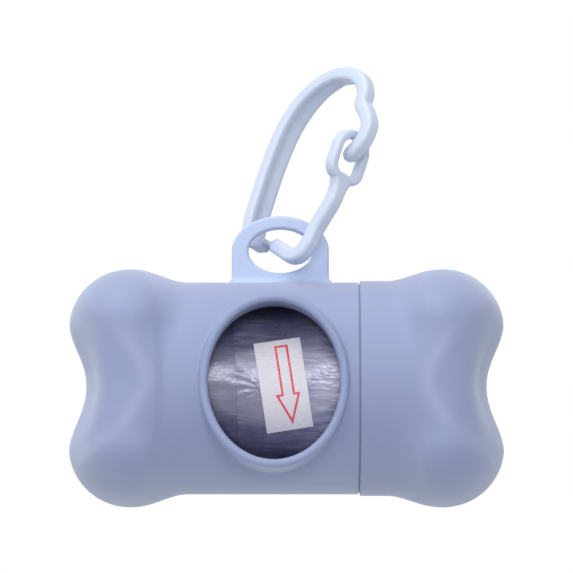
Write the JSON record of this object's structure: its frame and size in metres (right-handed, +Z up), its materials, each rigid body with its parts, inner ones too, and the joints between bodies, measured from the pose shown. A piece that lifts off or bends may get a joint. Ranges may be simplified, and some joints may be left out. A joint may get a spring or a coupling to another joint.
{
  "type": "waste bag dispenser",
  "caption": "Bone-shaped screw-top dispenser for dog waste bags with an oval window, holding a roll, hung from a lead by a moulded snap clip.",
  "frame": {"origin": "where a lead or ring bears, inside the top of the clip's loop", "axes": "+Z up, with the bone hanging below; +X along the bone towards the screw cap; the window faces -Y"},
  "size_m": [0.0843, 0.043, 0.0867],
  "materials": {
    "body": "fine matte, pale blue",
    "clip": "satin, paler blue",
    "film": "wound thin film, slate violet",
    "outer_film": "loose glossy film, slate violet",
    "card": "plain grey-brown cardboard",
    "label": "plain white paper"
  },
  "bodies": {
    "clip": {"clip_frame": "clip", "clip_hinge": "clip"},
    "gate": {"clip_gate": "clip"},
    "shell": {"body_shell": "body"},
    "core": {"core_tube": "card"},
    "cap": {"end_cap": "body"},
    "roll": {"bag_roll": "film", "outer_bag": "outer_film", "roll_label": "label"}
  },
  "joints": [
    {"name": "gate_flex", "type": "hinge", "parent": "clip", "child": "gate", "pos_m": [-0.0141, -0.00425, -0.03223], "axis": [-0.6806, -0.6436, 0.3502], "range_deg": [0, 26], "stiffness_Nm_per_rad": 0.02},
    {"name": "body_swing", "type": "hinge", "parent": "clip", "child": "shell", "pos_m": [-0.011, -0.00576, -0.03364], "axis": [0, 1, 0], "range_deg": [-20, 20]},
    {"name": "cap_advance", "type": "slide", "parent": "shell", "child": "core", "axis": [1, 0, 0], "range_m": [0, 0.008]},
    {"name": "cap_turn", "type": "hinge", "parent": "core", "child": "cap", "pos_m": [0.01894, -0.00576, -0.06044], "axis": [1, 0, 0], "range_deg": [0, 722]},
    {"name": "roll_spin", "type": "hinge", "parent": "core", "child": "roll", "pos_m": [-0.01106, -0.00576, -0.06044], "axis": [1, 0, 0], "continuous": true}
  ],
  "couplings": [
    {"joint": "cap_turn", "follows": "cap_advance", "rad_per_m": 1570.8}
  ]
}
